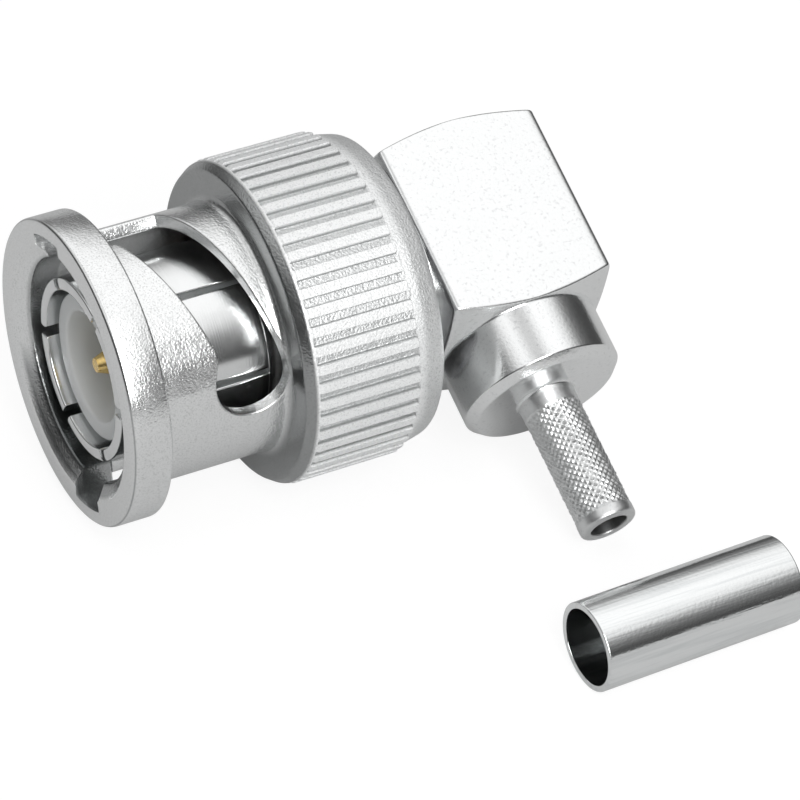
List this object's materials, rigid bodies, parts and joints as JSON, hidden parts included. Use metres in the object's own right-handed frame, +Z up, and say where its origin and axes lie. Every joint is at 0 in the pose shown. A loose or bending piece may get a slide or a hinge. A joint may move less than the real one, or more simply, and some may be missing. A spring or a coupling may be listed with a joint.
{
  "type": "right-angle bnc crimp plug",
  "caption": "Right-angle bayonet coaxial plug with a turning coupling nut, a hollow crimp stem and its loose crimp ferrule.",
  "frame": {"origin": "on the plug's mating axis, in the plane of the coupling nut's front face", "axes": "+X along the mating axis out of the plug's mouth, +Z up, +Y to the side where the crimp stem points"},
  "size_m": [0.0239, 0.0291, 0.0144],
  "materials": {
    "cast_nickel": "bright nickel plate over a die casting, fine orange peel",
    "turned_nickel": "nickel-plated turned brass",
    "bar_nickel": "nickel-plated brass bar, satin",
    "tube_nickel": "nickel-plated drawn tube",
    "spring_steel": "spring steel",
    "silicone": "silicone rubber",
    "fluoropolymer": "translucent white fluoropolymer",
    "gold": "gold plate"
  },
  "bodies": {
    "root": {"outer_contact": "turned_nickel", "plug_body": "turned_nickel", "gasket": "silicone", "wave_washer": "spring_steel", "retaining_ring": "spring_steel", "front_insulator": "fluoropolymer", "rear_insulator": "fluoropolymer", "centre_pin": "gold", "elbow_housing": "bar_nickel", "end_cap": "bar_nickel", "cap_insulator": "fluoropolymer", "crimp_ferrule": "tube_nickel"},
    "washer_carrier": {"thrust_washer": "spring_steel"},
    "nut": {"coupling_nut": "cast_nickel"}
  },
  "joints": [
    {"name": "nut_slide", "type": "slide", "parent": "root", "child": "washer_carrier", "axis": [1, 0, 0], "range_m": [0, 0.00045], "stiffness_N_per_m": 8000, "springref_m": -0.0004, "deforming": ["wave_washer"]},
    {"name": "nut_spin", "type": "hinge", "parent": "washer_carrier", "child": "nut", "pos_m": [0, 0, 0], "axis": [1, 0, 0], "continuous": true}
  ]
}
